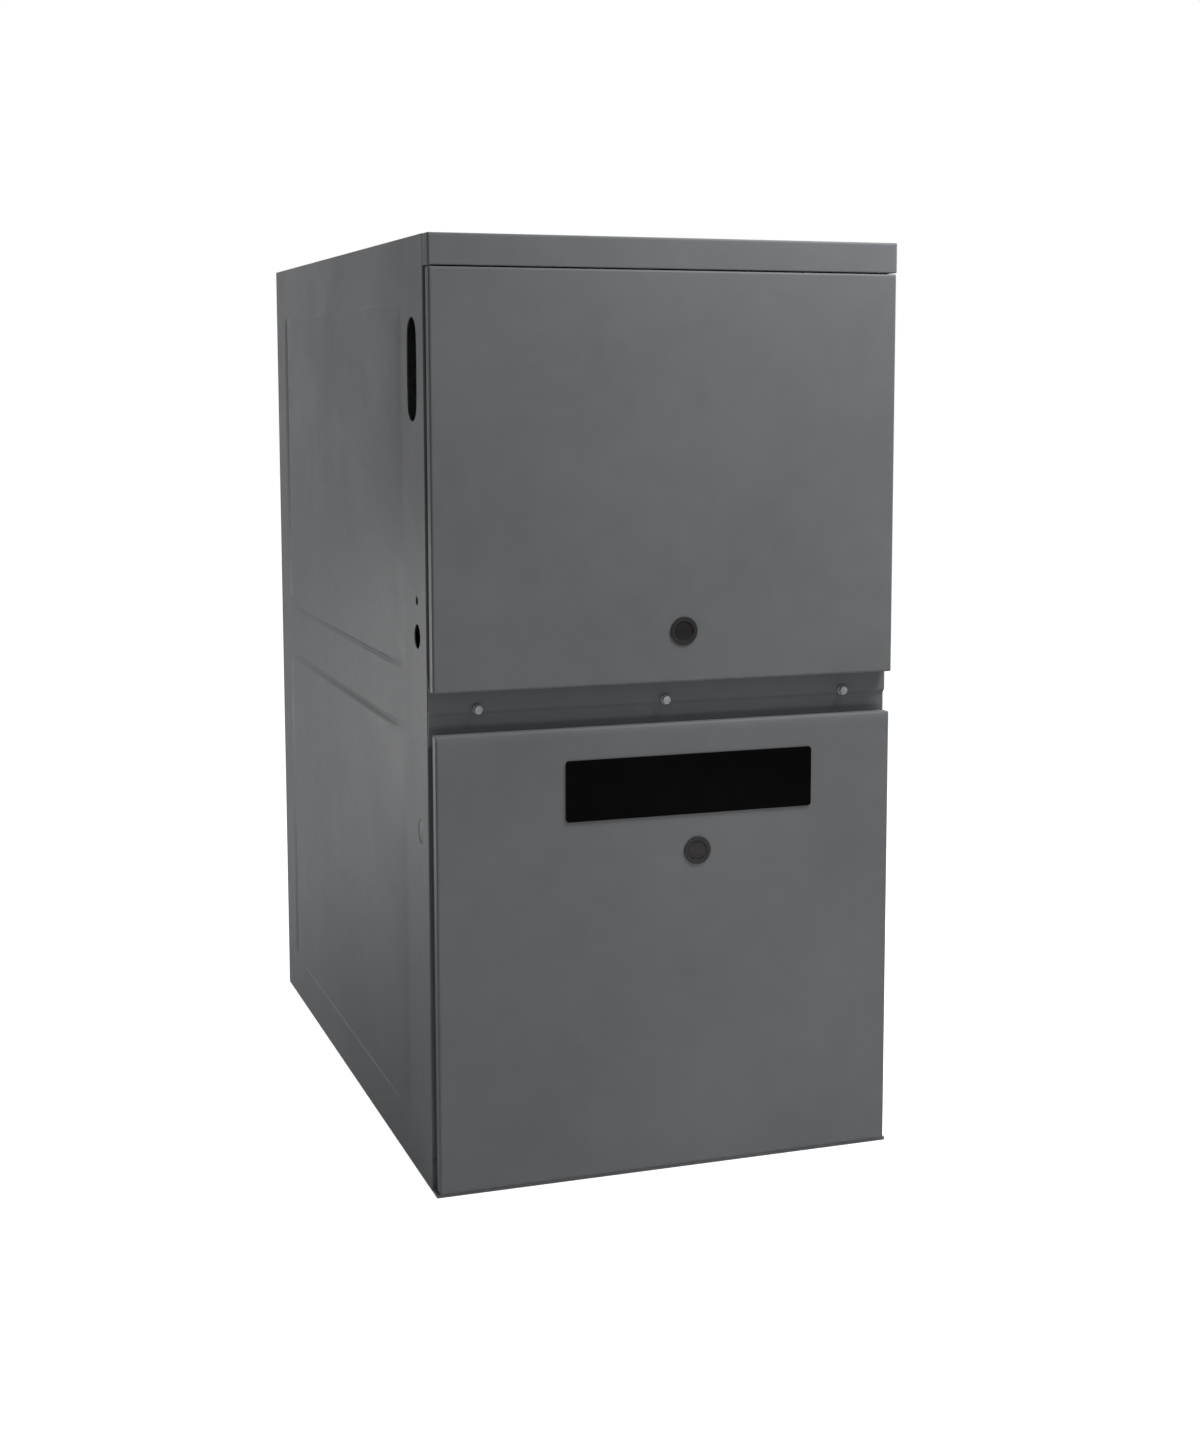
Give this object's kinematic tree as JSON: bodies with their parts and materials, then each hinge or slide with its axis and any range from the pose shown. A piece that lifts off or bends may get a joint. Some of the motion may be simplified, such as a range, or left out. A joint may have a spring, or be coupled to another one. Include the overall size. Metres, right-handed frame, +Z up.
{
  "type": "forced air gas furnace",
  "caption": "Upright sheet metal gas furnace: lift-off doors, blower with scroll below, burners and serpentine tube heat exchanger above.",
  "frame": {"origin": "centre of the bounding box's bottom face, on the floor under the casing", "axes": "+X to the right seen from the front, +Y from the doors to the back, +Z up"},
  "size_m": [0.4486, 0.7372, 0.856],
  "materials": {
    "casing_paint": "satin",
    "galvanised": "satin",
    "aluminised": "matte",
    "dark_steel": "satin",
    "black_pipe": "satin",
    "zinc": "satin",
    "cast_aluminium": "matte",
    "black_plastic": "matte",
    "red_plastic": "gloss",
    "ceramic": "matte",
    "board_green": "satin",
    "black_rubber": "matte",
    "foil": "gloss",
    "dark_glass": "gloss"
  },
  "bodies": {
    "casing": {"left_side_panel": "casing_paint", "right_side_panel": "casing_paint", "rear_panel": "casing_paint", "top_frame": "galvanised", "base_frame": "galvanised", "base_rail": "casing_paint", "top_rail": "casing_paint", "door_channel": "casing_paint", "channel_screw_1": "zinc", "channel_screw_2": "zinc", "channel_screw_3": "zinc", "vestibule_panel": "galvanised", "heat_exchanger_tube_1": "aluminised", "heat_exchanger_tube_2": "aluminised", "heat_exchanger_tube_3": "aluminised", "heat_exchanger_tube_4": "aluminised", "burner_1": "aluminised", "burner_2": "aluminised", "burner_3": "aluminised", "burner_4": "aluminised", "burner_box": "galvanised", "gas_manifold": "black_pipe", "gas_valve": "cast_aluminium", "igniter": "ceramic", "flame_sensor": "ceramic", "rollout_switch_left": "black_plastic", "rollout_switch_right": "black_plastic", "limit_switch": "zinc", "pressure_switch": "black_plastic", "pressure_hose": "black_rubber", "collector_box": "aluminised", "inducer_housing": "dark_steel", "inducer_motor": "dark_steel", "vent_collar": "galvanised", "blower_housing": "galvanised", "blower_motor": "dark_steel", "motor_mount": "galvanised", "capacitor": "zinc", "blower_deck": "galvanised", "control_bracket": "galvanised", "control_board": "board_green", "transformer": "dark_steel", "door_switch": "black_plastic", "junction_box": "galvanised"},
    "upper_door": {"upper_door": "casing_paint", "upper_door_gasket": "black_rubber", "upper_door_liner": "foil", "upper_port_bezel": "black_plastic", "upper_port_glass": "dark_glass"},
    "lower_door": {"lower_door": "casing_paint", "lower_door_gasket": "black_rubber", "lower_port_bezel": "black_plastic", "lower_port_glass": "dark_glass", "name_plate": "black_plastic"},
    "blower_wheel": {"blower_wheel": "galvanised"},
    "inducer_wheel": {"inducer_wheel": "aluminised"},
    "gas_valve_knob": {"gas_valve_knob": "red_plastic"},
    "rollout_button_left": {"rollout_button_left": "red_plastic"},
    "rollout_button_right": {"rollout_button_right": "red_plastic"},
    "door_switch_plunger": {"door_switch_plunger": "ceramic"}
  },
  "joints": [
    {"name": "upper_door_pull", "type": "slide", "parent": "casing", "child": "upper_door", "axis": [0, -1, 0], "range_m": [0, 0.3]},
    {"name": "lower_door_pull", "type": "slide", "parent": "casing", "child": "lower_door", "axis": [0, -1, 0], "range_m": [0, 0.3]},
    {"name": "blower_wheel_spin", "type": "hinge", "parent": "casing", "child": "blower_wheel", "pos_m": [0, 0.0596, 0.216], "axis": [1, 0, 0], "continuous": true},
    {"name": "inducer_wheel_spin", "type": "hinge", "parent": "casing", "child": "inducer_wheel", "pos_m": [0.036, -0.226, 0.7385], "axis": [0, 1, 0], "continuous": true},
    {"name": "gas_valve_knob_turn", "type": "hinge", "parent": "casing", "child": "gas_valve_knob", "pos_m": [-0.186, -0.3409, 0.6325], "axis": [0, 1, 0], "range_deg": [0, 90]},
    {"name": "rollout_button_left_press", "type": "slide", "parent": "casing", "child": "rollout_button_left", "axis": [1, 0, 0], "range_m": [0, 0.0015], "stiffness_N_per_m": 600},
    {"name": "rollout_button_right_press", "type": "slide", "parent": "casing", "child": "rollout_button_right", "axis": [-1, 0, 0], "range_m": [0, 0.0015], "stiffness_N_per_m": 600},
    {"name": "door_switch_plunger_press", "type": "slide", "parent": "casing", "child": "door_switch_plunger", "axis": [0, 1, 0], "range_m": [0, 0.004], "stiffness_N_per_m": 400}
  ]
}
